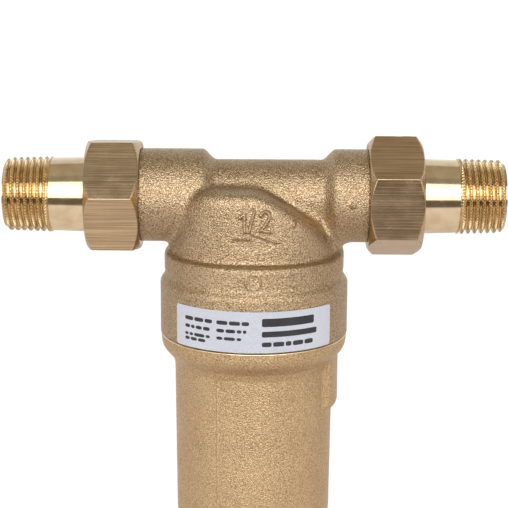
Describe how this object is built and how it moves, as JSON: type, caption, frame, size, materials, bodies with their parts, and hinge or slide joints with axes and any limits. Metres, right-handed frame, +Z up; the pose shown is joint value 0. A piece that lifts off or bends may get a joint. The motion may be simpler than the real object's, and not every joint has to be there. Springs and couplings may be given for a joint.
{
  "type": "fine water filter",
  "caption": "Brass T-form fine water filter with union tail ends, screwed pot bowl, sieve insert, and a ball drain valve with hose tail.",
  "frame": {"origin": "on the pipe axis at the gauge plane of the inlet thread, 8.2 mm in from its end, where the face of the mating pipe socket comes to rest; the bowl axis crosses the pipe axis 61.8 mm further along +X", "axes": "+X along the pipe from inlet to outlet, +Y to the back (the label and the size mark face -Y), +Z up"},
  "size_m": [0.14, 0.0536, 0.1753],
  "materials": {
    "cast_brass": "sand-cast and blasted, fine matt grain",
    "turned_brass": "turned, bright, fine turning marks",
    "drawn_brass": "drawn hexagon bar with lengthwise marks",
    "rating_plate": "pale silver film, satin",
    "fibre_gasket": "matt pressed fibre",
    "black_rubber": "matt rubber",
    "white_plastic": "satin acetal plastic",
    "steel_cloth": "fine woven stainless wire",
    "seat_plastic": "waxy fluoroplastic",
    "chromed_steel": "polished hard chrome",
    "lever_plastic": "fine-textured glass-filled plastic",
    "screw_steel": "zinc-plated steel"
  },
  "bodies": {
    "housing_unit": {"housing": "cast_brass", "label": "rating_plate"},
    "inlet_end": {"inlet_tailpiece": "turned_brass", "inlet_gasket": "fibre_gasket"},
    "inlet_nut": {"inlet_union_nut": "drawn_brass"},
    "outlet_end": {"outlet_tailpiece": "turned_brass", "outlet_gasket": "fibre_gasket"},
    "outlet_nut": {"outlet_union_nut": "drawn_brass"},
    "sieve_insert": {"sieve_top_collar": "white_plastic", "sieve_seal": "black_rubber", "sieve_support_cage": "white_plastic", "sieve_mesh": "steel_cloth", "sieve_bottom_cap": "white_plastic"},
    "bowl_unit": {"bowl": "cast_brass", "bowl_seal": "black_rubber", "drain_body_seal": "seat_plastic", "drain_valve_body": "turned_brass", "drain_seat_upper": "seat_plastic", "drain_seat_lower": "seat_plastic", "drain_stem_packing": "seat_plastic", "drain_packing_nut": "drawn_brass", "hose_tail_seal": "seat_plastic", "hose_tail": "turned_brass"},
    "drain_lever": {"drain_ball": "chromed_steel", "drain_stem": "turned_brass", "drain_handle": "lever_plastic", "drain_handle_screw": "screw_steel"}
  },
  "joints": [
    {"name": "inlet_end_draw", "type": "slide", "parent": "housing_unit", "child": "inlet_end", "axis": [-1, 0, 0], "range_m": [0, 0.0085]},
    {"name": "inlet_nut_turn", "type": "hinge", "parent": "inlet_end", "child": "inlet_nut", "pos_m": [0.022, 0, 0], "axis": [-1, 0, 0], "range_deg": [0, 1690]},
    {"name": "outlet_end_draw", "type": "slide", "parent": "housing_unit", "child": "outlet_end", "axis": [1, 0, 0], "range_m": [0, 0.0085]},
    {"name": "outlet_nut_turn", "type": "hinge", "parent": "outlet_end", "child": "outlet_nut", "pos_m": [0.1016, 0, 0], "axis": [1, 0, 0], "range_deg": [0, 1690]},
    {"name": "bowl_lower", "type": "slide", "parent": "housing_unit", "child": "sieve_insert", "axis": [0, 0, -1], "range_m": [0, 0.012]},
    {"name": "bowl_turn", "type": "hinge", "parent": "sieve_insert", "child": "bowl_unit", "pos_m": [0.0618, 0, -0.06], "axis": [0, 0, -1], "range_deg": [0, 2162]},
    {"name": "drain_lever_turn", "type": "hinge", "parent": "bowl_unit", "child": "drain_lever", "pos_m": [0.0618, 0, -0.118], "axis": [0, 1, 0], "range_deg": [0, 90]}
  ],
  "couplings": [
    {"joint": "inlet_nut_turn", "follows": "inlet_end_draw", "rad_per_m": 3463.2},
    {"joint": "outlet_nut_turn", "follows": "outlet_end_draw", "rad_per_m": 3463.2},
    {"joint": "bowl_turn", "follows": "bowl_lower", "rad_per_m": 3141.6}
  ]
}
